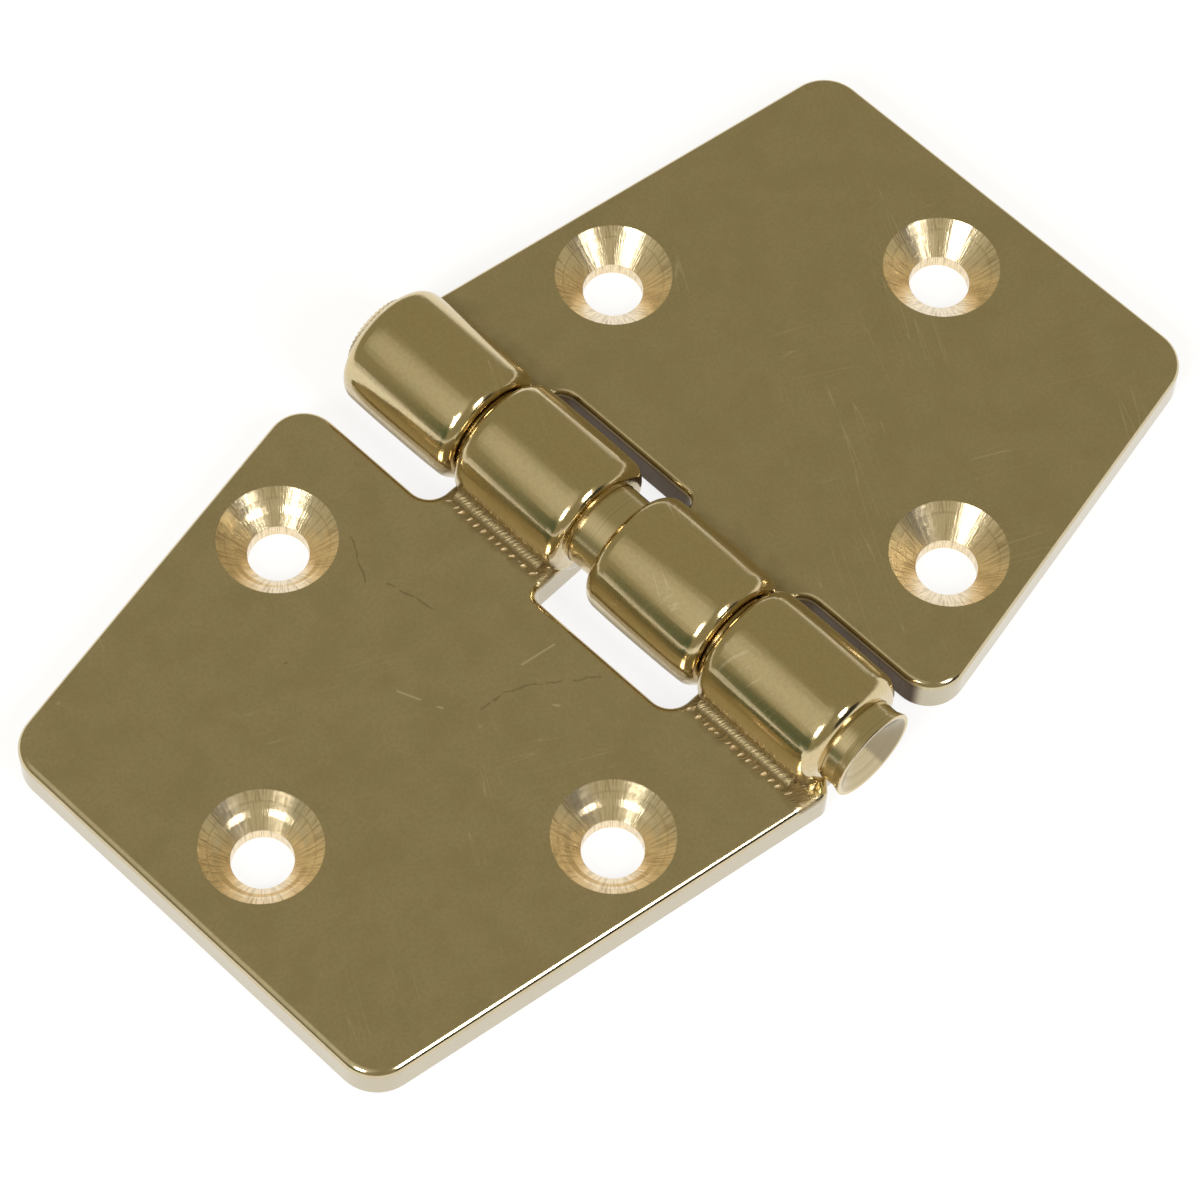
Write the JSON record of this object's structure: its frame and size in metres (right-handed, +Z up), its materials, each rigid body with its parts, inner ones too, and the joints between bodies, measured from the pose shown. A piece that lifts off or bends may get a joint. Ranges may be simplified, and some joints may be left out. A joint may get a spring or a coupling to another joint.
{
  "type": "door hinge",
  "caption": "Cast brass strap hinge with two tapered countersunk leaves and interleaved rounded knuckles on a solid pin.",
  "frame": {"origin": "middle of the underside, below the pin, with the hinge open and flat", "axes": "+X across the leaves towards the frame leaf, +Y along the pin towards its knurled end, +Z up from the underside"},
  "size_m": [0.104, 0.0623, 0.0124],
  "materials": {
    "cast_brass": "polished",
    "pin_brass": "turned"
  },
  "bodies": {
    "frame_side": {"frame_leaf": "cast_brass", "hinge_pin": "pin_brass"},
    "door_side": {"door_leaf": "cast_brass"}
  },
  "joints": [
    {"name": "pin_swing", "type": "hinge", "parent": "frame_side", "child": "door_side", "pos_m": [0, 0, 0.0062], "axis": [0, 1, 0], "range_deg": [-100, 180]}
  ]
}
